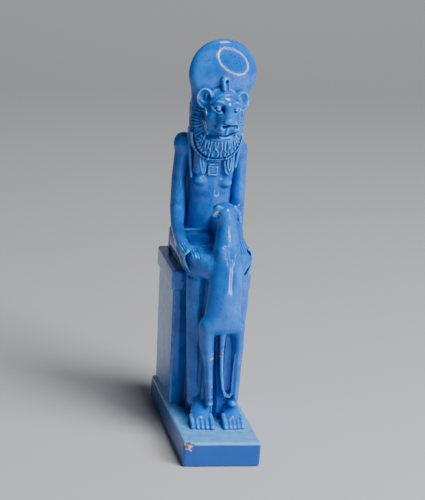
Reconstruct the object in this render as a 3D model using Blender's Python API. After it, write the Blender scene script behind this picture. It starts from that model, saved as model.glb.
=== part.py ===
"""A lion-headed goddess on her throne, with a lion standing up against her knees, all moulded in one piece.

Metres, +Z up. The origin is at the centre of the plinth's underside, and the goddess faces -Y.
The figures are drawn on a sculptor's grid: x to the goddess's left, y to her back, z up from the plinth.
"""

import math

import bmesh
import bpy
from mathutils import Matrix, Vector

MM = 0.001

# Sizes that can each be set by themselves
FIGURE_HEIGHT = 118.0 * MM  # from the plinth's top to the top of the sun disc
PLINTH_HEIGHT = 8.0 * MM
PLINTH_TOE_ROOM = 10.5 * MM  # bare plinth in front of the toes
PLINTH_LEDGE = 1.0 * MM  # bare plinth on each side of the throne
PLINTH_BACK_LEDGE = 1.7 * MM
THRONE_WIDTH = 22.4 * MM  # at the throne's foot
THRONE_DEPTH = 26.1 * MM
SEAT_WIDTH = 25.4 * MM
SEAT_SHIFT = 0.7 * MM  # how far the seat leans to her right of the throne's foot
SEAT_LIP = 0.6 * MM  # how far the seat slab stands out past the throne
BACKREST_WIDTH = 20.8 * MM
BACKREST_THICKNESS = 3.6 * MM
PILLAR_WIDTH = 8.4 * MM
EDGE_ROUND = 0.7 * MM  # rounding along the plinth's and the throne's edges

# The figures' grid
GRID_STEPS = 118.0
STEP = FIGURE_HEIGHT / GRID_STEPS
THRONE_FRONT = 2.2
SEAT_UNDERSIDE = 38.9
SEAT_TOP = 45.5
BACKREST_TOP = 52.5
PILLAR_TOP = 99.0
PILLAR_FRONT = 19.0
TOE_TIPS = -19.5

# The fused clay
VOXEL = 0.42 * STEP
SMOOTHING_STEPS = 3
CLAY_TRIANGLES = 9000

FAIENCE_BLUE = (0.035, 0.20, 0.47, 1.0)
FAIENCE_ROUGHNESS = 0.22

PLINTH_FRONT = TOE_TIPS * STEP - PLINTH_TOE_ROOM
THRONE_BACK = THRONE_FRONT * STEP + THRONE_DEPTH
PLINTH_BACK = THRONE_BACK + PLINTH_BACK_LEDGE
PLINTH_WIDTH = THRONE_WIDTH + 2 * PLINTH_LEDGE
CENTRE_Y = (PLINTH_FRONT + PLINTH_BACK) / 2


def clear_scene():
    for obj in list(bpy.data.objects):
        bpy.data.objects.remove(obj)


def mirrored(point, side):
    """The point on the goddess's left (side 1) or right (side -1)."""
    return (point[0] * side, point[1], point[2])


class Clay:
    """Overlapping closed shapes in one mesh, on the figures' grid, which are fused later."""

    def __init__(self):
        self.mesh = bmesh.new()

    def ball(self, centre, radii, yaw=0.0, roll=0.0):
        """An ellipsoid. Roll turns it about y, then yaw about z, in degrees."""
        turn = Matrix.Rotation(math.radians(yaw), 4, "Z") @ Matrix.Rotation(math.radians(roll), 4, "Y")
        size = Matrix.Diagonal((*(Vector(radii) * STEP), 1))
        matrix = Matrix.Translation(Vector(centre) * STEP) @ turn @ size
        bmesh.ops.create_uvsphere(self.mesh, u_segments=24, v_segments=14, radius=1, matrix=matrix)

    def brick(self, low, high):
        """A plain box between two corners."""
        size = (Vector(high) - Vector(low)) * STEP
        centre = (Vector(high) + Vector(low)) * STEP / 2
        bmesh.ops.create_cube(
            self.mesh, size=1, matrix=Matrix.Translation(centre) @ Matrix.Diagonal((*size, 1))
        )

    def hull(self, *ends):
        """The hull of ellipsoids, each given by its centre and its radii: a limb, or a web between limbs."""
        hull = bmesh.new()
        for centre, radii in ends:
            if not isinstance(radii, tuple):
                radii = (radii, radii, radii)
            size = Matrix.Diagonal((*(Vector(radii) * STEP), 1))
            matrix = Matrix.Translation(Vector(centre) * STEP) @ size
            bmesh.ops.create_icosphere(hull, subdivisions=2, radius=1, matrix=matrix)
        bmesh.ops.delete(hull, geom=hull.edges[:] + hull.faces[:], context="EDGES_FACES")
        bmesh.ops.convex_hull(hull, input=hull.verts[:])
        bmesh.ops.delete(hull, geom=[v for v in hull.verts if not v.link_faces], context="VERTS")
        shell = bpy.data.meshes.new("hull")
        hull.to_mesh(shell)
        hull.free()
        self.mesh.from_mesh(shell)
        bpy.data.meshes.remove(shell)

    def chain(self, *ends):
        """Hulls from each end to the next."""
        for start, end in zip(ends, ends[1:]):
            self.hull(start, end)

    def fused(self, name):
        """The clay as one object on the plinth, fused."""
        mesh = bpy.data.meshes.new(name)
        self.mesh.to_mesh(mesh)
        self.mesh.free()
        obj = bpy.data.objects.new(name, mesh)
        obj.location = (0, -CENTRE_Y, PLINTH_HEIGHT)
        bpy.context.scene.collection.objects.link(obj)
        fuse(obj)
        return obj


def fuse(obj):
    remesh = obj.modifiers.new("fuse", "REMESH")
    remesh.mode = "VOXEL"
    remesh.voxel_size = VOXEL


def carved(obj, hollows):
    """The object with the hollows cut out of it, softened and thinned to its number of triangles."""
    carve = obj.modifiers.new("carve", "BOOLEAN")
    carve.operation = "DIFFERENCE"
    carve.object = hollows
    fuse(obj)
    soften = obj.modifiers.new("soften", "SMOOTH")
    soften.factor = 0.5
    soften.iterations = SMOOTHING_STEPS
    bpy.context.view_layer.update()
    cut = obj.evaluated_get(bpy.context.evaluated_depsgraph_get())
    triangles = sum(len(face.vertices) - 2 for face in cut.data.polygons)
    thin = obj.modifiers.new("thin", "DECIMATE")
    thin.ratio = min(1.0, CLAY_TRIANGLES / triangles)
    return obj


def squared_arc(centre, radii, start, end, points, squareness=1.0):
    """Points (x, z) along part of an ellipse, in degrees. Squareness under 1 fills its corners."""
    found = []
    for i in range(points):
        angle = math.radians(start + (end - start) * i / (points - 1))
        across, up = math.cos(angle), math.sin(angle)
        across = math.copysign(abs(across) ** squareness, across)
        up = math.copysign(abs(up) ** squareness, up)
        found.append((centre[0] + radii[0] * across, centre[1] + radii[1] * up))
    return found


def add_sun_disc(clay):
    centre, radius = (0.1, 12.5), 10.8
    level = GRID_STEPS - radius - 0.1
    rim = (radius - 0.6, 1.8, radius - 0.6)
    clay.ball((*centre, level), (radius, 3.5, radius + 0.1))
    clay.hull(((centre[0], centre[1] - 0.8, level), rim), ((centre[0], centre[1] + 0.8, level), rim))
    clay.hull(((0.1, 12.9, 106.0), (10.2, 2.4, 8.0)), ((0, 13.6, 98.0), (9.0, 3.0, 5.0)))


def add_uraeus(clay, hollows):
    """The rearing cobra on the brow, against the foot of the disc, with the hollow of its hood."""
    clay.hull(((0.4, 6.2, 101.6), (1.3, 1.4, 1.2)), ((0.3, 8.2, 105.1), (1.5, 1.2, 1.3)))
    clay.hull(((0.4, 8.0, 101.6), (1.0, 1.6, 1.2)), ((0.3, 10.4, 103.6), (1.2, 2.0, 2.0)))
    hollows.hull(((0.8, 4.5, 102.4), (0.6, 0.8, 0.6)), ((0.7, 6.6, 104.9), (0.75, 0.8, 0.8)))


def add_ear(clay, hollows, centre, side):
    """A round cupped ear, turned outwards: a rim of short limbs round a dish."""
    centre, turn = Vector(centre), 30.0 * side
    clay.ball(centre, (2.6, 1.5, 3.1), yaw=turn)
    swing = Matrix.Rotation(math.radians(turn), 3, "Z")
    rim = []
    for degrees in range(-110, 251, 30):
        angle = math.radians(degrees)
        offset = swing @ Vector((2.15 * math.cos(angle) * side, -1.0, 2.7 * math.sin(angle)))
        rim.append((centre + offset, 0.6))
    clay.chain(*rim)
    hollows.ball(centre + swing @ Vector((0, -2.0, 0.1)), (1.5, 1.7, 2.1), yaw=turn)


def add_eye(clay, hollows, centre, width, side):
    """A sunk eye under a strong brow."""
    x, y, z = centre
    hollows.ball((x, y - 1.5, z + 0.15), (width, 1.8, 1.25), roll=-10 * side)
    clay.ball((x, y + 0.8, z - 0.1), (0.5 * width, 1.4, 0.75))
    brow = squared_arc((x, z - 0.3), (1.1 * width, 2.2), 25, 155, 5)
    clay.chain(*(((bx, y + 0.9, bz), 0.5) for bx, bz in brow))


def add_nose_and_mouth(clay, hollows):
    """A broad nose pad that overhangs the lip, whisker pads, a parted lip and the chin."""
    clay.hull(((0.6, 2.6, 99.3), (1.3, 1.2, 1.1)), ((0.2, -3.0, 95.7), (1.15, 1.2, 0.9)))
    clay.hull(((-1.1, -3.9, 95.0), (0.95, 0.8, 0.65)), ((1.2, -3.9, 94.8), (0.95, 0.8, 0.65)))
    clay.ball((-2.1, -2.3, 92.6), (1.6, 1.8, 1.55))
    clay.ball((2.1, -2.3, 92.4), (1.45, 1.8, 1.5))
    clay.hull(((-0.3, -3.8, 93.8), 0.5), ((-0.65, -3.5, 91.0), 0.5))
    clay.hull(((-1.6, -2.4, 89.8), (1.0, 1.2, 0.8)), ((0.6, -2.4, 89.6), (1.0, 1.2, 0.8)))
    hollows.hull(((-1.4, -4.8, 93.5), (0.7, 0.9, 0.45)), ((-1.2, -4.6, 91.8), (0.3, 0.9, 0.4)))
    hollows.hull(((1.2, -4.8, 93.4), (0.8, 0.9, 0.45)), ((0.4, -4.6, 91.6), (0.3, 0.9, 0.4)))
    hollows.hull(((-3.0, -3.0, 91.0), (0.6, 1.2, 0.3)), ((-0.8, -4.0, 90.7), (0.6, 1.2, 0.3)))
    hollows.hull(((-0.8, -4.0, 90.7), (0.6, 1.2, 0.3)), ((2.2, -3.2, 90.8), (0.6, 1.2, 0.3)))


def add_lion_face(clay, hollows):
    """The goddess's head: a lioness with round ears."""
    clay.ball((0, 9.0, 96.4), (5.9, 6.4, 6.3))
    clay.ball((0.2, 4.8, 98.7), (5.0, 3.6, 3.5))
    clay.hull(((0, 3.4, 94.8), (3.7, 3.2, 3.9)), ((0, -1.4, 93.8), (2.7, 2.2, 2.7)))
    clay.hull(((-0.2, 3.4, 91.8), (3.7, 3.2, 2.6)), ((-0.4, -1.2, 90.9), (2.3, 2.0, 1.6)))
    clay.ball((-3.7, 5.2, 94.4), (2.3, 3.2, 4.4))
    clay.ball((3.1, 5.2, 94.4), (2.0, 3.2, 4.4))
    add_eye(clay, hollows, (-2.75, 1.2, 97.8), 2.0, -1)
    add_eye(clay, hollows, (3.0, 1.2, 97.6), 1.7, 1)
    add_nose_and_mouth(clay, hollows)
    add_ear(clay, hollows, (-5.7, 8.0, 99.9), -1)
    add_ear(clay, hollows, (5.7, 8.0, 99.2), 1)


def add_wig(clay):
    """The long wig behind the ears, with a lappet on each side of the chest."""
    clay.hull(((0, 15.4, 95.5), (9.1, 6.2, 7.4)), ((0, 16.8, 85.5), (8.5, 5.6, 5.6)))
    clay.hull(((0, 17.4, 84.0), (8.2, 5.4, 5.0)), ((0, 19.8, 77.0), (7.8, 4.6, 2.5)))
    for centre in (-4.85, 4.8):
        clay.hull(((centre, 14.0, 86.0), (2.3, 2.3, 2.0)), ((centre, 13.9, 75.4), (2.2, 2.0, 2.0)))
    fringe = (1.0, 1.6, 1.0)
    clay.hull(((-1.0, 14.4, 80.0), fringe), ((-1.0, 14.4, 74.4), fringe), ((0.2, 14.4, 77.0), (1.0, 1.6, 3.4)))


def add_ruff(clay):
    """The mane as a bib round the face: a smooth rim, and a band of locks under the chin."""
    middle, squareness = (-0.4, 90.0), 0.8
    bib = []
    for depth, radii in ((13.4, (7.4, 9.7)), (11.2, (6.6, 8.6))):
        for x, z in squared_arc(middle, radii, 15, 345, 12, squareness):
            bib.append(((x, depth, z), (1.3, 1.9, 1.3)))
    clay.hull(*bib)
    clay.hull(((-0.2, 11.2, 91.4), (7.0, 3.2, 7.6)), ((-0.1, 8.6, 93.0), (5.9, 2.6, 5.8)))
    rim = squared_arc(middle, (8.3, 10.4), -172, -8, 14, squareness)
    clay.chain(*(((x, 12.0, z), (0.6, 1.0, 0.6)) for x, z in rim))
    inner = squared_arc(middle, (6.2, 5.6), -156, -24, 12, squareness)
    outer = squared_arc(middle, (7.1, 8.9), -156, -24, 12, squareness)
    for (x_in, z_in), (x_out, z_out) in zip(inner, outer):
        clay.hull(((x_in, 9.2, z_in), (0.45, 0.8, 0.6)), ((x_out, 9.9, z_out), (0.5, 0.9, 0.7)))


def add_torso(clay):
    clay.hull(((0, 18.8, 79.6), (8.0, 5.4, 4.6)), ((0, 18.2, 66.5), (6.6, 4.9, 4.0)))
    clay.hull(((0, 18.2, 66.0), (6.5, 4.9, 4.0)), ((0, 17.2, 54.5), (7.4, 6.0, 4.0)))
    clay.hull(((-8.2, 19.8, 80.8), (3.2, 3.5, 3.6)), ((8.2, 19.8, 80.8), (3.2, 3.5, 3.6)))
    clay.brick((-9.6, 20.4, 50.0), (9.6, 24.2, 81.6))
    clay.ball((-3.9, 13.9, 71.8), (2.1, 1.9, 1.7))
    clay.ball((4.1, 13.9, 71.2), (2.1, 1.9, 1.7))


def add_arms(clay):
    """Upper arms at her sides, forearms on her thighs, hands flat on her knees. Her right arm is wider out."""
    right_arm = (
        ((-9.3, 19.8, 80.4), 2.6),
        ((-10.2, 19.9, 71.0), (2.1, 2.6, 2.4)),
        ((-9.8, 19.2, 61.3), (2.5, 2.9, 2.8)),
        ((-10.9, 12.0, 57.2), (2.1, 2.2, 2.2)),
        ((-11.0, 3.5, 54.9), (2.0, 2.0, 1.8)),
        ((-10.9, -0.6, 54.2), (2.05, 2.0, 1.4)),
        ((-10.0, -4.2, 53.4), (1.9, 1.4, 1.1)),
    )
    left_arm = (
        ((9.1, 19.8, 80.4), 2.6),
        ((9.8, 20.0, 71.0), (2.1, 2.6, 2.4)),
        ((9.8, 19.6, 61.0), (2.4, 2.8, 2.8)),
        ((8.8, 12.0, 57.0), (2.0, 2.2, 2.2)),
        ((7.7, 4.5, 55.4), (1.9, 2.0, 1.6)),
        ((7.3, -0.5, 54.9), (2.0, 2.0, 1.3)),
        ((7.1, -5.0, 53.8), (1.9, 1.4, 1.0)),
    )
    for arm in (right_arm, left_arm):
        clay.chain(*arm)
        elbow, wrist = Vector(arm[2][0]), Vector(arm[4][0])
        web = Vector((0, 0, -6.0))
        clay.hull((elbow, 1.8), (wrist, 1.4), (elbow + web, 1.8), (wrist + web / 2, 1.8))


def add_legs(clay):
    """Thighs and shins under a close dress, and the lap between her arms."""
    hip, knee = (5.9, 19.5, 49.6), (5.9, -2.2, 49.4)
    for side in (-1, 1):
        clay.hull((mirrored(hip, side), (5.4, 5.0, 5.9)), (mirrored(knee, side), (5.1, 4.9, 5.3)))
    clay.hull(((-6.6, -3.4, 44.5), (3.4, 3.8, 3.8)), ((-5.0, -5.6, 5.0), (2.3, 2.9, 2.6)))
    clay.chain(
        ((6.5, -3.4, 44.5), (3.7, 3.8, 3.8)),
        ((6.1, -4.6, 24.0), (3.2, 3.4, 3.4)),
        ((6.6, -5.8, 5.0), (2.6, 3.0, 2.6)),
    )
    clay.brick((-6.2, -2.6, -2.0), (7.8, 4.0, 48.0))
    clay.hull(((0, 13.0, 51.6), (8.8, 4.0, 4.6)), ((0, -1.0, 50.6), (8.4, 3.4, 4.2)))
    clay.brick((-6.0, -2.0, 44.0), (6.0, 19.0, 51.0))


def add_feet(clay):
    """Bare feet sunk a little into the plinth, with the dress closed between the ankles."""
    feet = (
        (((-3.4, -7.6, 3.6), (2.7, 3.0, 3.2)), ((-4.6, -14.6, 1.5), (3.3, 2.2, 1.6)), -7.7, -1.8),
        (((6.1, -7.6, 3.6), (2.4, 3.0, 3.2)), ((5.8, -14.6, 1.5), (3.0, 2.2, 1.6)), 8.5, 3.1),
    )
    for heel, instep, little_toe, big_toe in feet:
        clay.hull(heel, instep, ((heel[0][0], -7.6, -1.0), 1.8), ((instep[0][0], -14.6, -1.0), 2.0))
        for share in (0, 0.23, 0.46, 0.7, 1):
            x = little_toe + (big_toe - little_toe) * share
            radius = 0.55 + 0.3 * share
            tip = TOE_TIPS + 2.2 - 1.4 * share
            below = -1.0
            clay.hull(
                ((x, -14.4, 1.5), radius),
                ((x, tip, 0.8), radius),
                ((x, -14.4, below), radius),
                ((x, tip, below), radius),
            )
    clay.brick((-4.0, -9.0, -2.0), (7.0, -1.0, 6.0))


def add_standing_lion(clay, hollows):
    """The lion at her knees, seen from behind: paws on her lap, hind paws on her insteps."""
    clay.chain(
        ((1.0, -6.0, 62.0), (3.1, 3.8, 3.4)),
        ((1.3, -7.4, 57.0), (4.2, 4.4, 3.6)),
        ((1.0, -9.2, 51.0), (5.6, 4.8, 4.0)),
        ((0.85, -11.0, 42.5), (5.6, 4.6, 4.0)),
        ((0.7, -11.4, 36.0), (5.9, 4.4, 3.6)),
        ((0.8, -11.2, 32.4), (6.8, 4.2, 3.4)),
    )
    clay.ball((0.7, -4.6, 65.6), (3.6, 4.9, 4.1))
    clay.hull(((0.5, -2.6, 65.2), (3.0, 3.0, 3.2)), ((0.2, 2.4, 65.6), (2.0, 1.8, 1.9)))
    clay.ball((-3.0, -6.0, 67.3), (1.4, 1.4, 2.2), roll=-14)
    clay.ball((4.0, -5.8, 66.0), (1.2, 1.4, 2.7), roll=22)
    hollows.hull(((-3.6, -6.8, 63.6), (0.9, 1.6, 1.8)), ((-3.3, -7.6, 65.4), (0.6, 0.8, 0.8)))
    clay.hull(
        ((0.5, -3.0, 60.6), (2.6, 3.0, 3.0)),
        ((0.2, 11.0, 58.6), (2.2, 3.0, 3.0)),
        ((0, -2.0, 50.0), (4.6, 4.0, 5.0)),
        ((0, 9.0, 52.0), 3.0),
    )
    clay.hull(((-3.8, -8.4, 50.0), (3.2, 3.4, 4.0)), ((-8.0, -6.2, 50.6), (2.4, 2.8, 3.2)))
    clay.hull(((5.0, -8.4, 50.2), (3.2, 3.4, 4.0)), ((8.0, -6.0, 50.4), (2.3, 2.8, 3.2)))
    clay.chain(
        ((-3.9, -11.2, 29.6), (2.5, 4.0, 3.6)),
        ((-3.5, -11.4, 25.4), (2.5, 3.6, 3.0)),
        ((-2.3, -11.6, 18.4), (1.3, 2.8, 2.4)),
        ((-1.4, -11.8, 8.6), (1.1, 2.4, 2.0)),
        ((-1.5, -12.4, 5.6), (1.5, 2.6, 2.0)),
    )
    clay.chain(
        ((6.0, -11.2, 29.6), (2.1, 4.0, 3.6)),
        ((6.8, -11.2, 25.0), (1.8, 3.6, 3.0)),
        ((5.7, -11.4, 18.4), (1.7, 2.8, 2.4)),
        ((5.8, -11.8, 8.6), (1.5, 2.4, 2.0)),
        ((5.8, -12.4, 5.6), (1.7, 2.6, 2.0)),
    )
    clay.brick((-4.4, -8.6, 2.0), (7.2, -2.0, 46.0))
    clay.brick((-3.6, -10.4, 2.0), (7.0, -8.0, 30.0))
    clay.brick((2.0, -11.6, 8.0), (6.0, -7.0, 33.0))
    add_tail(clay)


def add_tail(clay):
    """The tail hangs between the hind legs, and its tip curls to one side."""
    path = (
        ((0.9, -14.4, 34.0), 1.3),
        ((0.7, -14.3, 29.0), 1.0),
        ((1.1, -13.7, 22.0), 0.7),
        ((1.9, -13.4, 14.5), 0.65),
        ((2.2, -13.3, 10.2), 0.65),
        ((3.1, -13.2, 8.7), 0.65),
        ((4.4, -13.1, 9.4), 0.65),
    )
    for (start, size), (end, end_size) in zip(path, path[1:]):
        behind = [((x, -8.0, z), 0.6) for x, _, z in (start, end)]
        clay.hull((start, size), (end, end_size), *behind)


def block(name, low, high, rounding, top_half=None, top_shift=0.0):
    """A box between two corners, in metres, with rounded edges. Its top can be wider and shifted in x."""
    shape = bmesh.new()
    size = Vector(high) - Vector(low)
    centre = (Vector(high) + Vector(low)) / 2
    bmesh.ops.create_cube(shape, size=1, matrix=Matrix.Translation(centre) @ Matrix.Diagonal((*size, 1)))
    if top_half is not None:
        for vertex in shape.verts:
            if vertex.co.z > centre.z:
                vertex.co.x = math.copysign(top_half, vertex.co.x) + top_shift
    bmesh.ops.bevel(
        shape, geom=shape.edges[:], offset=rounding, segments=2, profile=0.5, affect="EDGES", clamp_overlap=True
    )
    mesh = bpy.data.meshes.new(name)
    shape.to_mesh(mesh)
    shape.free()
    obj = bpy.data.objects.new(name, mesh)
    bpy.context.scene.collection.objects.link(obj)
    return obj


def seat_blocks():
    """The throne, its seat slab, its low backrest and the pillar up her back."""
    half, seat_half, rest_half, lip = THRONE_WIDTH / 2, SEAT_WIDTH / 2, BACKREST_WIDTH / 2, SEAT_LIP
    front, back = THRONE_FRONT * STEP - CENTRE_Y, THRONE_BACK - CENTRE_Y
    sunk = PLINTH_HEIGHT / 2
    seat_low, seat_high, rest_high, pillar_high = (
        PLINTH_HEIGHT + level * STEP for level in (SEAT_UNDERSIDE, SEAT_TOP, BACKREST_TOP, PILLAR_TOP)
    )
    overlap = EDGE_ROUND * 2
    return [
        block(
            "throne",
            (-half, front, sunk),
            (half, back, seat_low + overlap),
            EDGE_ROUND,
            top_half=seat_half - lip,
            top_shift=-SEAT_SHIFT,
        ),
        block(
            "seat",
            (-SEAT_SHIFT - seat_half, front - 2 * lip, seat_low),
            (-SEAT_SHIFT + seat_half, back + lip, seat_high),
            EDGE_ROUND,
        ),
        block(
            "backrest",
            (-rest_half, back - BACKREST_THICKNESS, seat_high - overlap),
            (rest_half, back, rest_high),
            EDGE_ROUND,
        ),
        block(
            "pillar",
            (-PILLAR_WIDTH / 2, PILLAR_FRONT * STEP - CENTRE_Y, seat_high - overlap),
            (PILLAR_WIDTH / 2, back - BACKREST_THICKNESS / 3, pillar_high),
            EDGE_ROUND,
        ),
    ]


def faience():
    material = bpy.data.materials.new("faience")
    material.use_nodes = True
    shader = material.node_tree.nodes["Principled BSDF"]
    shader.inputs["Base Color"].default_value = FAIENCE_BLUE
    shader.inputs["Roughness"].default_value = FAIENCE_ROUGHNESS
    shader.inputs["Metallic"].default_value = 0.0
    return material


def hide(helper):
    helper.hide_render = True
    helper.display_type = "WIRE"
    return helper


def main():
    clear_scene()
    clay, hollows = Clay(), Clay()
    add_sun_disc(clay)
    add_uraeus(clay, hollows)
    add_lion_face(clay, hollows)
    add_wig(clay)
    add_ruff(clay)
    add_torso(clay)
    add_arms(clay)
    add_legs(clay)
    add_feet(clay)
    add_standing_lion(clay, hollows)
    figures = carved(clay.fused("figures"), hide(hollows.fused("hollows")))

    figurine = block(
        "figurine",
        (-PLINTH_WIDTH / 2, PLINTH_FRONT - CENTRE_Y, 0),
        (PLINTH_WIDTH / 2, PLINTH_BACK - CENTRE_Y, PLINTH_HEIGHT),
        EDGE_ROUND,
    )
    figurine.data.materials.append(faience())
    for helper in [*seat_blocks(), figures]:
        hide(helper)
        join = figurine.modifiers.new("join " + helper.name, "BOOLEAN")
        join.operation = "UNION"
        join.object = helper
    figurine.data.shade_smooth()
    figurine.data.set_sharp_from_angle(angle=math.radians(40))


main()
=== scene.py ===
"""A blue faience figurine: a lion-headed goddess on a throne, with a lion standing against her knees.

The whole piece is one moulded form. It is carved in a block of space that holds the distance to its
surface, and the surface is then skinned. Lengths are in millimetres unless a comment says metres: x to
the goddess's left, y to her back, z up from the plinth's top. Angles are in degrees.
"""

import itertools
import math

import bpy
import numpy as np
from mathutils import Matrix, Vector


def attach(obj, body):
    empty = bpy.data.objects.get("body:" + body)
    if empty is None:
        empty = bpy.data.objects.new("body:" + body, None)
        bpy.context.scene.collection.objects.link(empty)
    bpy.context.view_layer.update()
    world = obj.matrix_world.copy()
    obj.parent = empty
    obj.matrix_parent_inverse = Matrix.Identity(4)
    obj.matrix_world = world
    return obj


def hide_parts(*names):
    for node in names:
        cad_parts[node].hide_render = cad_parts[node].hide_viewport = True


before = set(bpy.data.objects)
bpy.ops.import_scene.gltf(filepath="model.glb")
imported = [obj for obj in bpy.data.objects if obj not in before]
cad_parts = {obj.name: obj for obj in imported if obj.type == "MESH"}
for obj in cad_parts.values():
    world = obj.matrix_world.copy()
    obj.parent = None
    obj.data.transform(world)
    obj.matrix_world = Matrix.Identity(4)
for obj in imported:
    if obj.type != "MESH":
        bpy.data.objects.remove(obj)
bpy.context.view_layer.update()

MM = 0.001
PLINTH_HEIGHT = 8.0
PLINTH_HALF_WIDTH = 12.2
PLINTH_FRONT, PLINTH_BACK = -30.0, 30.0
THRONE_HALF_WIDTH = 11.2
THRONE_LEAN, THRONE_FLARE = 0.016, 0.0018
THRONE_FRONT, THRONE_BACK = 2.2, 28.3
SEAT_UNDERSIDE, SEAT_TOP, SEAT_LIP = 38.9, 45.5, 0.6
SEAT_HALF_WIDTH, SEAT_SHIFT = 12.7, -0.7
BACKREST_TOP, BACKREST_FRONT, BACKREST_HALF_WIDTH = 52.5, 24.7, 10.4
PILLAR_TOP, PILLAR_FRONT, PILLAR_HALF_WIDTH = 99.0, 19.0, 4.2

# The block of space and its samples
BLOCK_LOW = (-14.5, -31.0, -9.0)
BLOCK_HIGH = (14.5, 31.0, 119.0)
SAMPLE_STEP = 0.25
CLEAR = 4.0
WINDOW_MARGIN = 1.2
SURFACE_PASSES = 2
LEAST_STEEPNESS = 0.05
FACES_KEPT = 190_000

# Guards against a division by zero
NO_LENGTH = 1e-9
NO_SLOPE = 1e-6

# Each measure of how hollow the surface is: name, reach in samples and limit
HOLLOWS = (("fine_hollow", 2, 1.0), ("broad_hollow", 8, 2.5))
WORN_FADE = 1.3

# Colours
GLAZE = (0.005, 0.115, 0.520)
GLAZE_VARIED = (0.014, 0.180, 0.660)
# Darker mottling of the glaze, and painted shade on the plinth's sides
GLAZE_MOTTLE_AND_PAINTED_SHADE = (0.003, 0.070, 0.380)
# Darkest glaze: dark specks, and painted shade in hollows and creases
GLAZE_DARKEST_AND_PAINTED_SHADE = (0.002, 0.020, 0.090)
# Pale thin glaze on edges, and a painted highlight along the plinth's front top edge
GLAZE_THIN_AND_PAINTED_HIGHLIGHT = (0.120, 0.440, 0.880)
# Paler, matte glaze on the plinth's top, with painted light from above
PLINTH_TOP_PALE_AND_LIT = (0.110, 0.370, 0.700)
BODY_PALE = (0.620, 0.540, 0.480)
BODY_BROWN = (0.120, 0.075, 0.060)
FLOOR_COLOUR = (0.45, 0.46, 0.48)

# Where the plinth's colour changes, in metres above its underside and from its middle: a painted highlight
# along the front top edge, painted shade on the sides, the paler top with painted light, and the chip
RIM_HIGHLIGHT_HEIGHTS = (0.0069, 0.0076)
RIM_HIGHLIGHT_DEPTHS = (-0.0293, -0.0297)
PLINTH_SIDE_SHADE_HEIGHTS = (0.0075, 0.0068)
PLINTH_TOP_HEIGHTS = (0.0086, 0.0082)
CHIP_PLACE = (-0.0106, -0.0300, 0.0072)
CHIP_REACH = (0.0027, 0.0004)

# Camera
CAMERA_TURN, CAMERA_HEIGHT, CAMERA_ROLL = -12.504, 16.604, 4.54
CAMERA_TARGET = (-1.507, 0, 60.882)
CAMERA_DISTANCE = 653.5
SENSOR_SIZE = 36.0
FOCAL_PIXELS, PHOTOGRAPH_PIXELS = 2083.0, 500.0

# Lights, in metres, watts and degrees
WORLD_COLOUR, WORLD_STRENGTH = (0.8, 0.85, 0.9), 0.05
LAMP_TARGET = (0, 0, 0.06)
KEY_PLACE, KEY_SIZE, KEY_POWER = (0.45, -0.42, 0.56), 0.50, 9.5
TOP_PLACE, TOP_SIZE, TOP_POWER = (0.12, -0.20, 0.85), 0.30, 4.0
RING_TARGET = (0, 0, 0.115)
RING_TURN, RING_HEIGHT = 21.5, 7.0
RING_HALF_SIZE = (20.0, 12.0)
RING_LEAN = -34.0
RING_DISTANCE = 0.45
RING_LAMPS = 40
RING_POWER = 0.7
RING_LAMP_SIZE = 0.012


def smooth_min(a, b, blend):
    """The smaller of two distances, with a soft seam of this width where they are alike."""
    overlap = np.maximum(blend - np.abs(a - b), 0) / blend
    return np.minimum(a, b) - overlap * overlap * (blend / 4)


def smooth_max(a, b, blend):
    return -smooth_min(-a, -b, blend)


def lengths(x, y, z):
    return np.sqrt(x * x + y * y + z * z)


class Clay:
    """A block of space, sampled evenly. Each sample holds the distance to the surface, negative inside."""

    def __init__(self):
        self.low = np.array(BLOCK_LOW, np.float32)
        counts = np.ceil((np.array(BLOCK_HIGH) - BLOCK_LOW) / SAMPLE_STEP).astype(int) + 1
        self.field = np.full(counts, CLEAR, np.float32)

    def window(self, low, high, margin):
        """The slices of the samples between two corners, and those samples' coordinates."""
        first = np.floor((np.asarray(low) - margin - self.low) / SAMPLE_STEP).astype(int)
        last = np.ceil((np.asarray(high) + margin - self.low) / SAMPLE_STEP).astype(int) + 1
        first, last = np.maximum(first, 0), np.minimum(last, self.field.shape)
        axes = [
            start + SAMPLE_STEP * np.arange(a, b, dtype=np.float32)
            for start, a, b in zip(self.low, first, last)
        ]
        points = axes[0][:, None, None], axes[1][None, :, None], axes[2][None, None, :]
        return tuple(slice(a, b) for a, b in zip(first, last)), points

    def join(self, shape, blend=0.6):
        """Adds a shape. Blend is the width of the soft seam where it meets what is there."""
        low, high, distance = shape
        slices, points = self.window(low, high, blend + WINDOW_MARGIN)
        self.field[slices] = smooth_min(self.field[slices], distance(*points), blend)

    def carve(self, shape, blend=0.3):
        """Cuts a shape away, with a soft edge as wide as the blend."""
        low, high, distance = shape
        slices, points = self.window(low, high, blend + WINDOW_MARGIN)
        self.field[slices] = -smooth_min(-self.field[slices], distance(*points), blend)

    def relief(self, path, width, height, reach, along=1):
        """Raises a soft line by height, or sinks it where height is negative.

        The path's points lack the coordinate that the line is projected along. Reach is the low and the
        high end of that coordinate, which keeps the line off the far side.
        """
        across = [i for i in range(3) if i != along]
        path = np.asarray(path, np.float32)
        low, high = np.zeros(3), np.zeros(3)
        low[across], high[across] = path.min(0) - width, path.max(0) + width
        low[along], high[along] = reach
        slices, points = self.window(low, high, 0)
        u, v = points[across[0]], points[across[1]]
        nearest = None
        for a, b in zip(path, path[1:]):
            du, dv = b - a
            squared_length = max(du * du + dv * dv, NO_LENGTH)
            share = np.clip(((u - a[0]) * du + (v - a[1]) * dv) / squared_length, 0, 1)
            squared = (u - a[0] - share * du) ** 2 + (v - a[1] - share * dv) ** 2
            nearest = squared if nearest is None else np.minimum(nearest, squared)
        bump = np.maximum(1 - nearest / (width * width), 0) ** 2
        self.field[slices] -= height * bump


def as_radii(radii):
    """Three radii, from three or from one."""
    return np.array(radii if isinstance(radii, tuple) else (radii,) * 3, np.float32)


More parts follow.
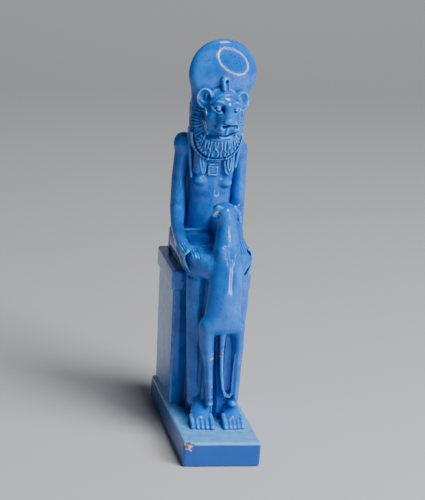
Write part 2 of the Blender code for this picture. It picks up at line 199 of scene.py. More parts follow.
def ball(centre, radii, yaw=0, roll=0, power=2):
    """An ellipsoid, turned about y by roll and then about z by yaw.

    A power above 2 makes its front squarer.
    """
    radii = as_radii(radii)
    turn = Matrix.Rotation(math.radians(yaw), 3, "Z") @ Matrix.Rotation(math.radians(roll), 3, "Y")
    turned = np.array(turn, np.float32)
    half = np.sqrt(((turned * radii) ** 2).sum(1))

    def distance(x, y, z):
        x, y, z = x - centre[0], y - centre[1], z - centre[2]
        x, y, z = (turned[0, i] * x + turned[1, i] * y + turned[2, i] * z for i in range(3))
        x, y, z = x / radii[0], y / radii[1], z / radii[2]
        if power == 2:
            near = lengths(x, y, z)
        else:
            face = (np.abs(x) ** power + np.abs(z) ** power) ** (1 / power)
            near = np.sqrt(face * face + y * y)
        return near * (near - 1) / (lengths(x / radii[0], y / radii[1], z / radii[2]) + NO_SLOPE)

    return np.array(centre) - half, np.array(centre) + half, distance


def limb(*ends):
    """A chain of tapered lengths between ellipsoids, each given by its centre and its radii."""
    centres = np.array([centre for centre, _ in ends], np.float32)
    radii = np.array([as_radii(size) for _, size in ends])

    def distance(x, y, z):
        nearest = None
        for a, b, size_a, size_b in zip(centres, centres[1:], radii, radii[1:]):
            along = b - a
            share = (x - a[0]) * along[0] + (y - a[1]) * along[1] + (z - a[2]) * along[2]
            share = np.clip(share / max(float(along @ along), NO_LENGTH), 0, 1)
            size = [size_a[i] + (size_b[i] - size_a[i]) * share for i in range(3)]
            q = [(p - a[i] - along[i] * share) / size[i] for i, p in enumerate((x, y, z))]
            near = lengths(*q)
            found = near * (near - 1) / (lengths(*(q[i] / size[i] for i in range(3))) + NO_SLOPE)
            nearest = found if nearest is None else np.minimum(nearest, found)
        return nearest

    return (centres - radii).min(0), (centres + radii).max(0), distance


def slab(low, high, rounding, lean=0, flare=0):
    """A box with rounded edges. With height above 0 it shifts to -x by lean and widens by flare."""
    low, high = np.array(low, np.float32), np.array(high, np.float32)
    centre, half = (low + high) / 2, (high - low) / 2 - rounding

    def distance(x, y, z):
        x = (x + lean * z) / (1 + flare * z)
        q = [np.abs(p - centre[i]) - half[i] for i, p in enumerate((x, y, z))]
        outside = lengths(*(np.maximum(side, 0) for side in q))
        return outside + np.minimum(np.maximum(np.maximum(q[0], q[1]), q[2]), 0) - rounding

    widest = (abs(lean) + abs(flare) * half[0]) * max(high[2], 0)
    return low - (widest, 0, 0), high + (widest, 0, 0), distance


def disc(centre, radius, half_depth, bulge, tilt):
    """A round disc that faces -y, with domed faces of radius bulge and a rounded edge.

    Tilt is how far the front face is turned upwards.
    """
    x0, y0, z0 = centre
    lean = math.radians(tilt)
    front = y0 - half_depth + bulge * math.cos(lean), z0 - bulge * math.sin(lean)
    back = y0 + half_depth - bulge
    face_seam, edge_rounding = 1.0, 2.2

    def distance(x, y, z):
        side = np.sqrt((x - x0) ** 2 + (z - z0) ** 2) - radius
        near = lengths(x - x0, y - front[0], z - front[1]) - bulge
        far = lengths(x - x0, y - back, z - z0) - bulge
        return smooth_max(smooth_max(near, far, face_seam), side, edge_rounding)

    half = np.array((radius, half_depth, radius))
    return np.array(centre) - half, np.array(centre) + half, distance


def arc(centre, radii, start, end, points=16, power=2):
    """Points along part of an ellipse, from one angle to another. A higher power is squarer."""
    angles = np.radians(np.linspace(start, end, points))
    across, up = np.cos(angles), np.sin(angles)
    across, up = (np.sign(part) * np.abs(part) ** (2 / power) for part in (across, up))
    return np.stack([centre[0] + radii[0] * across, centre[1] + radii[1] * up], 1)


def on_side(point, side):
    """A point on the goddess's left (side 1) or right (side -1)."""
    return (point[0] * side, *point[1:])


def add_sun_disc(clay):
    """The sun disc, and the broad body behind it that runs down into the wig."""
    clay.join(disc((0.1, 12.5, 107.1), radius=10.8, half_depth=3.4, bulge=34.0, tilt=2.0), 0.5)
    clay.join(limb(((0.1, 12.9, 106.0), (10.2, 2.4, 8.0)), ((0, 13.6, 98.0), (9.0, 3.0, 5.0))), 1.0)


def add_uraeus(clay):
    """The rearing cobra: a hood with a hollow, against the foot of the disc."""
    clay.join(limb(((0.2, 6.6, 103.0), (1.2, 1.1, 1.0)), ((0.1, 8.0, 105.2), (1.4, 1.2, 1.4))), 0.5)
    clay.join(limb(((0.2, 8.4, 102.6), (1.0, 1.6, 1.2)), ((0.1, 10.4, 104.0), (1.2, 2.0, 2.0))), 0.5)
    clay.carve(limb(((0.7, 5.8, 103.0), (0.55, 1.3, 0.8)), ((0.6, 7.0, 105.0), (0.7, 1.4, 0.9))), 0.2)


def add_ear(clay, centre, side, hollow):
    """A round cupped ear, turned outwards, with a thin raised rim and a fold inside."""
    centre = np.array(centre)
    outward = 30 * side
    turn = math.radians(outward)
    clay.join(ball(tuple(centre), (2.6, 1.5, 3.1), yaw=outward), 0.6)

    def on_ear(across, forward, up):
        """A point of the ear's own plane."""
        offset = (
            across * side * math.cos(turn) + forward * math.sin(turn),
            across * side * math.sin(turn) - forward * math.cos(turn),
            up,
        )
        return tuple(centre + offset)

    rim = []
    for angle in np.radians(np.linspace(-110, 250, 21)):
        rim.append((on_ear(2.25 * math.cos(angle), 1.0, 2.8 * math.sin(angle)), 0.42))
    clay.join(limb(*rim), 0.3)
    clay.carve(ball(on_ear(-0.1, 1.8, 0.7), (1.95, hollow, 2.1), yaw=outward), 0.25)
    clay.join(limb((on_ear(-0.1, 0.2, -0.6), 0.35), (on_ear(-0.3, 0.2, 1.5), 0.3)), 0.5)


def add_eye(clay, centre, width, side):
    """A sunk eye under a strong brow, deepest beside the nose, with a bright lower lid."""
    x, y, z = centre
    eye_reach, brow_reach = (y - 4, y + 3), (y - 4, y + 5)
    clay.carve(ball((x - 0.25 * side, y - 1.2, z + 0.25), (1.1 * width, 1.9, 1.3), roll=-8 * side), 0.8)
    clay.carve(ball((x - 0.75 * width * side, y - 0.3, z + 0.1), (0.55 * width, 1.5, 1.0)), 0.3)
    clay.join(ball((x + 0.1, y + 0.75, z), (0.4 * width, 0.9, 0.6)), 0.15)
    upper_lid = arc((x, z - 0.1), (0.78 * width, 0.9), 20, 160)
    clay.relief(upper_lid, 0.32, 0.28, eye_reach)
    lower_lid = [(x + 1.05 * width * side, z + 0.35), (x + 0.6 * width * side, z - 0.65)]
    lower_lid += [(x, z - 1.15), (x - 0.5 * width * side, z - 0.75)]
    clay.relief(lower_lid, 0.42, 0.42, eye_reach)
    brow = arc((x, z + 0.2), (1.25 * width, 2.1), 35, 150)
    clay.relief(brow, 0.55, 0.22, brow_reach)


def add_nose_and_mouth(clay):
    """A broad nose that overhangs the lip, whisker pads, a parted lip and the chin."""
    clay.join(limb(((0.6, 2.6, 99.3), (1.4, 1.2, 1.1)), ((0.3, -3.0, 95.3), (1.5, 1.3, 1.0))), 0.8)
    clay.join(limb(((-0.5, -3.6, 94.9), (1.1, 0.8, 0.7)), ((1.2, -3.6, 94.7), (1.1, 0.8, 0.7))), 0.8)
    clay.join(ball((-2.0, -2.0, 92.5), (1.6, 1.6, 1.7)), 0.8)
    clay.join(ball((2.1, -2.0, 92.3), (1.5, 1.6, 1.6)), 0.8)
    under_nose = (
        ((-1.4, -3.8, 93.4), (0.7, 1.8, 0.65)),
        ((0.4, -3.8, 93.8), (0.8, 1.8, 0.4)),
        ((2.5, -3.5, 93.6), (0.8, 1.7, 0.55)),
    )
    clay.carve(limb(*under_nose), 0.2)
    clay.carve(limb(((-0.8, -4.4, 93.4), (0.65, 1.3, 0.4)), ((-1.4, -3.9, 91.2), (0.35, 1.1, 0.4))), 0.15)
    clay.carve(limb(((0.7, -4.4, 93.2), (0.7, 1.3, 0.5)), ((0.1, -3.9, 91.4), (0.35, 1.1, 0.4))), 0.15)
    clay.join(limb(((-0.3, -3.3, 92.8), 0.3), ((-0.7, -3.1, 91.0), 0.28)), 0.15)
    clay.join(limb(((-1.9, -2.3, 90.0), (1.0, 1.2, 0.75)), ((0.6, -2.4, 90.0), (1.0, 1.2, 0.75))), 0.5)
    clay.carve(limb(((-3.4, 6.0, 87.3), (1.6, 4.2, 1.1)), ((2.4, 6.0, 87.1), (1.6, 4.2, 1.0))), 0.3)
    lip = [(-4.0, 91.2), (-2.9, 90.5), (-1.6, 90.2), (-0.2, 90.6), (1.2, 91.3), (2.8, 92.0)]
    clay.relief(lip, 0.35, -0.45, (-6, 2))
    for side in (-1, 1):
        for row in range(4):
            start = (1.45 * side - 0.2, 93.5 - 0.5 * row)
            clay.relief([start, (start[0] + 1.6 * side, start[1] - 0.05)], 0.17, -0.22, (-6, 0))


def add_lion_face(clay):
    """The goddess's head: skull, brow, muzzle, cheeks, eyes and ears, with a ridge along the mane."""
    clay.join(ball((0, 9.0, 96.4), (5.9, 6.4, 6.3)))
    clay.join(ball((0.2, 4.8, 98.7), (5.0, 3.6, 3.5)), 1.0)
    clay.join(limb(((0, 3.4, 94.8), (3.7, 3.2, 3.9)), ((0, -1.4, 93.8), (2.7, 2.2, 2.7))), 1.0)
    clay.join(limb(((-0.2, 3.4, 91.8), (3.7, 3.2, 2.6)), ((-0.4, -1.2, 90.9), (2.3, 2.0, 1.6))), 0.8)
    clay.join(ball((-3.7, 5.2, 94.4), (2.3, 3.2, 4.4)), 1.2)
    clay.join(ball((3.1, 5.2, 94.4), (2.0, 3.2, 4.4)), 1.2)
    add_eye(clay, (-2.75, 1.2, 97.8), 2.0, -1)
    add_eye(clay, (2.8, 1.2, 97.6), 1.9, 1)
    add_nose_and_mouth(clay)
    clay.relief(arc((0, 96.5), (6.1, 6.5), -5, 190, 28), 0.42, 0.35, (0, 10))
    clay.relief(arc((0, 96.3), (5.2, 5.4), 15, 180, 28), 0.35, -0.22, (0, 9))
    clay.relief([(-6.2, 93.3), (-5.6, 91.3), (-4.9, 89.3), (-4.1, 88.0)], 0.35, 0.35, (0, 12))
    add_ear(clay, (-5.7, 8.0, 99.9), -1, 1.8)
    add_ear(clay, (5.4, 8.0, 99.2), 1, 1.6)


def add_wig(clay):
    """The long wig behind the ears, with a narrow strand down the front of each shoulder."""
    clay.join(limb(((0, 15.4, 95.5), (9.1, 6.2, 7.4)), ((0, 16.8, 85.5), (8.5, 5.6, 5.6))), 0.8)
    clay.join(limb(((0, 17.4, 84.0), (8.2, 5.4, 5.0)), ((0, 19.8, 77.0), (7.8, 4.6, 2.5))), 0.8)
    clay.join(limb(((-8.5, 16.2, 85.6), (0.7, 1.2, 0.8)), ((-7.1, 15.2, 73.0), (0.55, 1.4, 0.8))), 0.3)
    clay.join(limb(((7.9, 15.8, 83.5), (0.8, 1.4, 0.8)), ((6.9, 15.2, 76.5), (0.6, 1.4, 0.8))), 0.3)


def add_ruff(clay):
    """The mane as a bib round the face: radiating strands, a band of beaded locks and a smooth rim."""
    middle = np.array((-0.4, 90.0))
    squareness = 2.5
    lock_reach, strand_reach, rim_reach = (3, 16), (3, 18), (5, 18)
    clay.join(ball((-0.35, 13.4, 89.8), (8.7, 3.0, 11.4), power=squareness), 0.6)
    clay.join(ball((-0.3, 11.4, 90.0), (7.9, 3.2, 10.4), power=squareness), 0.8)
    clay.join(limb(((-0.2, 11.2, 91.4), (7.0, 3.2, 7.6)), ((-0.1, 8.6, 93.0), (5.9, 2.6, 5.8))), 0.8)
    for i, angle in enumerate(np.linspace(150, 218, 14)):
        for turn in (angle, 180 - angle):
            ray = np.array((math.cos(math.radians(turn)), math.sin(math.radians(turn))))
            inner = middle + (0, 2.4) + ray * (5.6 + 0.5 * math.sin(3.1 * i), 6.2)
            outer = middle + (0, 3.0) + ray * (8.1, 8.8) + (0, -1.4 + 0.4 * math.sin(5.3 * i))
            clay.relief([inner, outer], 0.36, -0.26, strand_reach)
    locks = 17
    for i in range(locks):
        angle = -155 + 130 * i / (locks - 1) + 1.6 * math.sin(4.7 * i)
        ends = [
            arc(middle, (reach, drop), angle + bend, angle + bend, 1, squareness)[0]
            for reach, drop, bend in (
                (6.0, 4.5, 0),
                (6.6, 6.9, 2.2 * math.sin(2.9 * i)),
                (7.0, 8.2, -2.0 * math.sin(2.9 * i)),
                (7.3, 9.4, 1.2 * math.sin(1.7 * i)),
            )
        ]
        clay.relief(ends, 0.4, 0.4, lock_reach)
        for bead, size in ((ends[1], 0.55), (ends[3], 0.6)):
            clay.relief([bead, bead], size, 0.22, lock_reach)
        clay.relief([ends[2], ends[2]], 0.4, -0.3, lock_reach)
    clay.relief(arc(middle, (8.3, 10.9), -172, -8, 40, squareness), 0.6, 0.45, rim_reach)
    clay.relief(arc(middle, (7.75, 10.2), -168, -12, 40, squareness), 0.3, -0.2, strand_reach)
    clay.relief(arc(middle, (5.7, 4.0), -165, -15, 30, squareness), 0.4, -0.3, lock_reach)


def add_lappets(clay):
    """The two ends of the wig on her chest, and the fringed end of the collar between them."""
    tongue_reach, panel_reach = (8, 15), (10, 15)
    for x in (-4.85, 4.4):
        clay.join(limb(((x, 14.0, 86.0), (2.2, 2.2, 2.0)), ((x, 13.9, 75.4), (2.0, 1.9, 1.9))), 0.4)
    tongues = (
        [(-5.3, 81.0), (-5.1, 78.4), (-4.3, 74.9), (-3.5, 73.9), (-2.9, 75.0), (-2.9, 81.0)],
        [(-4.3, 80.0), (-4.0, 77.6), (-3.7, 76.6), (-3.4, 79.6)],
        [(2.9, 81.0), (2.9, 77.6), (3.5, 75.0), (4.6, 73.9), (5.4, 75.0), (5.6, 81.0)],
        [(3.7, 79.8), (4.0, 76.6), (4.6, 75.6), (4.9, 77.4), (4.9, 79.8)],
    )
    for outline in tongues:
        clay.relief(outline, 0.36, 0.42, tongue_reach)
    clay.join(slab((-2.2, 12.9, 73.5), (1.0, 15.5, 77.4), 0.3), 0.3)
    panel_edge = [(-2.1, 76.5), (0.9, 76.4), (0.7, 73.9), (-1.9, 74.0), (-2.1, 76.5)]
    clay.relief(panel_edge, 0.32, 0.42, panel_reach)
    for level in (74.7, 75.5, 77.3):
        mark = [(-1.7, level), (-0.2 + 0.2 * (level % 1), level + 0.1)]
        clay.relief(mark, 0.28, 0.36, panel_reach)
    clay.carve(limb(((-0.4, 13.7, 78.5), (0.6, 1.7, 0.8)), ((2.0, 13.7, 78.4), (0.6, 1.7, 1.0))), 0.2)
    clay.carve(limb(((1.9, 13.7, 78.0), (0.6, 1.7, 0.8)), ((1.8, 13.8, 73.0), (0.55, 1.3, 0.8))), 0.2)


def add_torso(clay):
    """Chest, waist, shoulders, breasts and belly, against a flat slab at her back."""
    clay.join(limb(((0, 18.8, 79.6), (8.0, 5.4, 4.6)), ((0, 18.2, 66.5), (6.6, 4.9, 4.0))), 1.0)
    clay.join(limb(((0, 18.2, 66.0), (6.5, 4.9, 4.0)), ((0, 17.2, 54.5), (7.4, 6.0, 4.0))), 1.0)
    clay.join(limb(((-8.4, 19.6, 81.8), (3.2, 3.5, 4.0)), ((8.2, 19.8, 80.8), (3.2, 3.5, 3.6))), 1.0)
    clay.join(ball((-9.8, 19.6, 82.2), (2.7, 3.2, 3.6)), 0.8)
    clay.join(slab((-10.0, 20.4, 50.0), (10.0, 24.4, 82.0), 1.0), 0.6)
    clay.join(ball((-4.3, 14.5, 71.8), (1.8, 1.6, 1.6)), 1.2)
    clay.join(ball((4.1, 14.4, 71.1), (2.1, 1.7, 1.6)), 1.2)
    clay.join(ball((0.9, 14.9, 65.6), (2.4, 1.1, 3.0)), 1.6)


def add_arms(clay):
    """Upper arms at her sides, forearms on her thighs, hands on her knees. Her right arm is wider out."""
    finger_lines, finger_reach = (-1.1, -0.35, 0.4, 1.15), (52, 59)
    right_arm = (
        ((-9.3, 19.8, 80.4), 2.6),
        ((-10.2, 19.9, 71.0), (2.1, 2.6, 2.4)),
        ((-9.8, 19.2, 61.3), (2.5, 2.9, 2.8)),
        ((-10.9, 12.0, 57.2), (2.1, 2.2, 2.2)),
        ((-11.0, 3.5, 54.9), (2.0, 2.0, 1.8)),
        ((-10.9, -0.6, 54.2), (2.05, 2.0, 1.4)),
        ((-10.0, -4.2, 53.4), (1.9, 1.4, 1.1)),
    )
    left_arm = (
        ((9.1, 19.8, 80.4), 2.6),
        ((9.8, 20.0, 71.0), (2.1, 2.6, 2.4)),
        ((9.7, 19.6, 61.0), (2.4, 2.8, 2.8)),
        ((8.4, 12.0, 57.0), (2.0, 2.2, 2.2)),
        ((7.4, 4.5, 55.4), (1.8, 2.0, 1.6)),
        ((7.5, -0.5, 54.5), (2.0, 2.0, 1.3)),
        ((7.6, -4.8, 53.4), (1.9, 1.4, 1.0)),
    )
    for arm in (right_arm, left_arm):
        clay.join(limb(*arm), 0.5)
        elbow, wrist, tips = arm[2][0], arm[4][0], arm[6][0]
        for x in finger_lines:
            start, end = (wrist[0] + x, wrist[1] - 4.6), (tips[0] + x, tips[1] - 1.0)
            clay.relief([start, end], 0.28, -0.3, finger_reach, along=2)
        elbow_web = ((elbow[0], elbow[1], elbow[2] - 4.5), (1.8, 2.0, 3.5))
        wrist_web = ((wrist[0], wrist[1], wrist[2] - 2.5), (1.6, 1.8, 2.2))
        clay.join(limb(elbow_web, wrist_web), 0.6)
    clay.carve(limb(((-11.6, 1.6, 56.9), 0.4), ((-9.2, 1.0, 56.4), 0.5)), 0.3)


def add_legs(clay):
    """Thighs and shins under a close dress, and the lap between her arms."""
    hip, knee = (5.9, 19.5, 49.6), (5.9, -2.2, 49.4)
    for side in (-1, 1):
        clay.join(limb((on_side(hip, side), (5.4, 5.0, 5.9)), (on_side(knee, side), (5.1, 4.9, 5.3))), 0.8)
    right_shin = (((-6.6, -3.4, 44.5), (3.4, 3.8, 3.8)), ((-5.0, -5.6, 5.0), (2.3, 2.9, 2.6)))
    clay.join(limb(*right_shin), 0.6)
    left_shin = (
        ((6.5, -3.4, 44.5), (3.7, 3.8, 3.8)),
        ((6.8, -4.4, 36.0), (3.4, 3.5, 3.4)),
        ((6.1, -4.6, 24.0), (3.2, 3.4, 3.4)),
        ((6.6, -5.8, 5.0), (2.6, 3.0, 2.6)),
    )
    clay.join(limb(*left_shin), 0.6)
    clay.join(slab((-6.4, -2.6, -2.0), (8.0, 4.0, 48.0), 1.2), 1.0)
    clay.join(limb(((0, 13.0, 50.9), (8.8, 4.0, 4.6)), ((0, -1.0, 50.6), (8.4, 3.4, 4.2))), 0.8)
    clay.join(slab((-3.2, 3.0, 44.0), (3.2, 20.0, 52.0), 0.5), 0.6)
    waist_fold = (
        ((-8.0, 12.6, 55.6), 0.5),
        ((-4.4, 12.2, 55.6), 0.7),
        ((-1.6, 12.0, 56.2), 0.8),
        ((0.6, 12.0, 56.2), 0.7),
    )
    clay.join(limb(*waist_fold), 0.5)
    clay.join(ball((-8.9, -1.6, 51.0), (3.3, 3.6, 3.8)), 0.8)
    clay.join(ball((8.0, -1.6, 51.0), (3.2, 3.6, 3.4)), 0.8)
    add_knee_edges(clay)


def add_knee_edges(clay):
    """A thin fold of the dress round the outer side of each knee, with a groove inside it."""
    knee_reach = (-11, 0)
    right_fold = [(-10.4, 54.0), (-11.5, 52.8), (-11.4, 51.0), (-10.5, 48.9), (-9.4, 47.5)]
    clay.relief(right_fold, 0.6, 0.7, knee_reach)
    clay.relief([(x + 1.0, z - 0.2) for x, z in right_fold], 0.5, -0.6, knee_reach)
    left_fold = [(9.6, 54.2), (10.5, 53.0), (10.6, 51.0), (9.8, 48.6), (9.0, 47.0)]
    clay.relief(left_fold, 0.45, 0.4, knee_reach)
    clay.relief([(x - 0.9, z - 0.1) for x, z in left_fold], 0.45, -0.5, knee_reach)


def add_feet(clay):
    """Bare feet side by side, the big toes inwards."""
    feet = (
        (((-3.4, -7.6, 4.2), (2.7, 3.2, 3.4)), ((-4.3, -13.8, 1.9), (3.4, 3.0, 2.0)), (-7.3, -1.2)),
        (((6.1, -7.6, 4.2), (2.4, 3.2, 3.4)), ((5.9, -13.8, 1.9), (3.0, 3.0, 2.0)), (8.5, 3.1)),
    )
    toes = (0, 0.24, 0.48, 0.72, 1)
    for heel, instep, (little_toe, big_toe) in feet:
        clay.join(limb(heel, instep), 0.6)
        for share in toes:
            x = little_toe + (big_toe - little_toe) * share
            radius = 0.68 + 0.17 * share**3
            root, knuckle, tip = (x, -14.0, 2.7), (x, -16.6, 1.9), (x, -18.6 - 0.5 * share, 0.6)
            clay.join(limb((root, radius), (knuckle, radius), (tip, radius)), 0.12)
    clay.join(slab((-4.0, -9.0, -2.0), (7.0, -1.0, 6.0), 1.0), 0.6)


def add_standing_lion(clay):
    """The lion at her knees, seen from behind: paws on her lap, hind paws on her insteps."""
    back = (
        ((1.0, -6.0, 62.0), (3.1, 3.8, 3.4)),
        ((1.3, -7.4, 57.0), (4.0, 4.4, 3.6)),
        ((1.0, -9.2, 51.0), (5.4, 4.8, 4.0)),
        ((0.9, -10.9, 42.5), (5.4, 4.6, 4.0)),
        ((0.7, -11.8, 36.0), (5.7, 4.4, 3.6)),
        ((0.8, -12.2, 32.4), (6.8, 4.2, 3.4)),
    )
    clay.join(limb(*back), 0.8)
    add_lion_head(clay)
    clay.join(limb(((1.4, -3.0, 59.6), (2.2, 3.0, 4.0)), ((1.4, 11.0, 57.6), (1.8, 3.0, 4.0))), 0.8)
    clay.join(slab((-5.0, -6.0, 44.0), (5.0, 4.0, 54.0), 1.5), 1.0)
    clay.join(ball((-0.8, -11.4, 55.0), (2.0, 1.9, 2.6)), 1.0)
    clay.join(ball((3.0, -11.2, 54.4), (2.0, 1.9, 2.8)), 1.0)
    clay.carve(limb(((0.9, -13.7, 55.4), (0.4, 0.7, 0.5)), ((1.0, -14.2, 54.0), (0.4, 0.7, 0.5))), 0.6)
    clay.join(limb(((-3.6, -8.6, 50.6), (3.0, 3.2, 3.6)), ((-8.0, -6.6, 52.2), (1.9, 2.2, 1.9))), 0.8)
    clay.join(limb(((5.0, -8.4, 50.6), (3.0, 3.2, 3.6)), ((8.0, -6.2, 51.6), (1.8, 2.2, 2.0))), 0.8)
    clay.join(limb(((-3.8, -7.6, 48.6), (3.0, 3.0, 3.0)), ((-7.4, -5.4, 48.8), (2.4, 2.6, 2.6))), 1.0)
    for x in (-9.0, -8.2, -7.4):
        clay.relief([(x, 54.4), (x + 0.2, 52.9)], 0.28, -0.24, (-11, -3))
    right_leg = (
        ((-3.7, -11.2, 31.0), (2.8, 4.0, 3.6)),
        ((-3.5, -11.4, 25.4), (2.4, 3.6, 3.0)),
        ((-2.6, -11.6, 18.4), (1.6, 2.8, 2.4)),
        ((-1.7, -11.8, 8.6), (1.3, 2.4, 2.0)),
    )
    clay.join(limb(*right_leg), 1.4)
    left_leg = (
        ((5.9, -11.2, 31.0), (2.2, 4.0, 3.6)),
        ((6.5, -11.2, 25.0), (1.8, 3.6, 3.0)),
        ((6.5, -11.4, 18.4), (1.5, 2.8, 2.4)),
        ((6.6, -11.8, 8.6), (1.3, 2.4, 2.0)),
    )
    clay.join(limb(*left_leg), 1.4)
    clay.join(ball((-1.6, -12.2, 6.6), (1.4, 2.6, 1.3)), 0.6)
    clay.join(ball((5.8, -12.2, 6.6), (1.6, 2.6, 1.3)), 0.6)
    clay.join(slab((-4.6, -8.6, 2.0), (7.2, -2.0, 46.0), 1.5), 0.6)
    clay.join(slab((-3.8, -10.4, 2.0), (7.0, -6.0, 30.0), 0.6), 0.5)
    clay.join(slab((2.0, -11.6, 8.0), (6.0, -7.0, 33.0), 0.8), 0.6)
    gap = (
        ((-1.2, -12.0, 28.6), (0.5, 3.2, 1.2)),
        ((-0.5, -12.0, 21.0), (0.6, 3.2, 1.0)),
        ((0.3, -12.0, 13.0), (0.75, 3.2, 1.0)),
        ((0.8, -12.0, 6.0), (0.8, 3.4, 1.0)),
        ((0.9, -12.4, 1.0), (0.8, 4.4, 1.0)),
    )
    clay.carve(limb(*gap), 0.3)


def add_lion_head(clay):
    """The standing lion's head, turned up to her: the back of the skull and the drooping ears show."""
    clay.join(ball((0.7, -4.6, 65.6), (3.6, 4.9, 4.1)), 1.0)
    clay.join(limb(((0.5, -2.6, 65.2), (3.0, 3.0, 3.2)), ((0.2, 2.4, 65.6), (2.0, 1.8, 1.9))), 0.8)
    right_ear = (((-1.9, -6.4, 68.4), (1.1, 0.9, 0.9)), ((-3.2, -6.2, 66.4), (0.8, 0.9, 1.2)))
    clay.join(limb(*right_ear), 0.5)
    left_ear = (((3.0, -6.4, 68.6), 0.7), ((4.3, -6.2, 66.8), 0.85), ((5.2, -6.0, 64.2), 0.6))
    clay.join(limb(*left_ear), 0.3)
    clay.carve(limb(((-2.0, -7.6, 66.8), 0.4), ((-2.6, -7.4, 65.2), 0.5)), 0.3)
    clay.carve(limb(((3.1, -8.0, 67.0), 0.35), ((4.1, -7.6, 64.6), 0.4)), 0.3)
    clay.carve(ball((-3.5, -6.8, 63.8), (0.9, 1.5, 1.7)), 0.4)


def add_tail(clay):
    """The tail hangs between the hind legs, and its tip curls up on one side."""
    path = (
        ((0.9, -15.0, 34.0), 1.3),
        ((0.6, -14.8, 29.5), 1.0),
        ((0.9, -13.9, 24.0), 0.6),
        ((1.5, -13.6, 16.5), 0.5),
        ((2.3, -13.4, 11.6), 0.5),
        ((3.2, -13.3, 9.2), 0.5),
        ((4.6, -13.2, 8.8), 0.5),
        ((5.4, -13.1, 10.2), 0.5),
        ((5.4, -13.2, 17.0), 0.45),
        ((5.5, -13.6, 23.0), 0.4),
    )
    clay.join(limb(*path), 0.3)
    web = [((x, -10.6, z), (0.5, 3.2, 1.0)) for (x, _, z), _ in path[:8]]
    clay.join(limb(*web), 0.3)


def add_seat(clay):
    """A block throne that widens upwards, its seat slab, a low backrest and the pillar up her back."""
    half, lip = THRONE_HALF_WIDTH, SEAT_LIP
    throne_low = (-half, THRONE_FRONT, -3)
    throne_high = (half, THRONE_BACK, SEAT_UNDERSIDE + 2)
    clay.join(slab(throne_low, throne_high, 0.7, THRONE_LEAN, THRONE_FLARE), 0.3)
    seat_low = (SEAT_SHIFT - SEAT_HALF_WIDTH, THRONE_FRONT - 2 * lip, SEAT_UNDERSIDE)
    seat_high = (SEAT_SHIFT + SEAT_HALF_WIDTH, THRONE_BACK + lip, SEAT_TOP)
    clay.join(slab(seat_low, seat_high, 0.9), 0.3)
    rest_low = (-BACKREST_HALF_WIDTH, BACKREST_FRONT, SEAT_TOP - 3)
    rest_high = (BACKREST_HALF_WIDTH, THRONE_BACK, BACKREST_TOP)
    clay.join(slab(rest_low, rest_high, 0.8), 0.5)
    pillar_low = (-PILLAR_HALF_WIDTH, PILLAR_FRONT, SEAT_TOP - 3)
    pillar_high = (PILLAR_HALF_WIDTH, THRONE_BACK - 1.2, PILLAR_TOP)
    clay.join(slab(pillar_low, pillar_high, 0.8), 0.8)


def add_plinth(clay):
    """The plinth, with the glaze and body broken away along one front corner."""
    plinth_low = (-PLINTH_HALF_WIDTH, PLINTH_FRONT, -PLINTH_HEIGHT)
    plinth_high = (PLINTH_HALF_WIDTH, PLINTH_BACK, 0)
    clay.join(slab(plinth_low, plinth_high, 0.8), 0.5)
    for x, size in ((-11.8, 0.9), (-10.7, 0.75), (-9.6, 0.55), (-8.9, 0.35)):
        clay.carve(ball((x, PLINTH_FRONT - 0.1, -0.3), (size, size, 0.9 * size)), 0.2)


def sampled(values, low, points):
    """The value at each point, blended from the eight samples round it."""
    last_inside = np.array(values.shape) - 1.001
    place = np.clip((points - low) / SAMPLE_STEP, 0, last_inside)
    first = place.astype(np.int32)
    share = (place - first).astype(np.float32)
    total = np.zeros(len(points), np.float32)
    for corner in itertools.product((0, 1), repeat=3):
        weight = np.prod(np.where(corner, share, 1 - share), axis=1)
        total += weight * values[tuple((first + corner).T)]
    return total


def slopes(values, low, points):
    """The direction in which the values rise, at each point."""
    reach = SAMPLE_STEP * 0.5
    rises = []
    for axis in range(3):
        offset = np.zeros(3, np.float32)
        offset[axis] = reach
        rise = sampled(values, low, points + offset) - sampled(values, low, points - offset)
        rises.append(rise / (2 * reach))
    return np.stack(rises, 1)


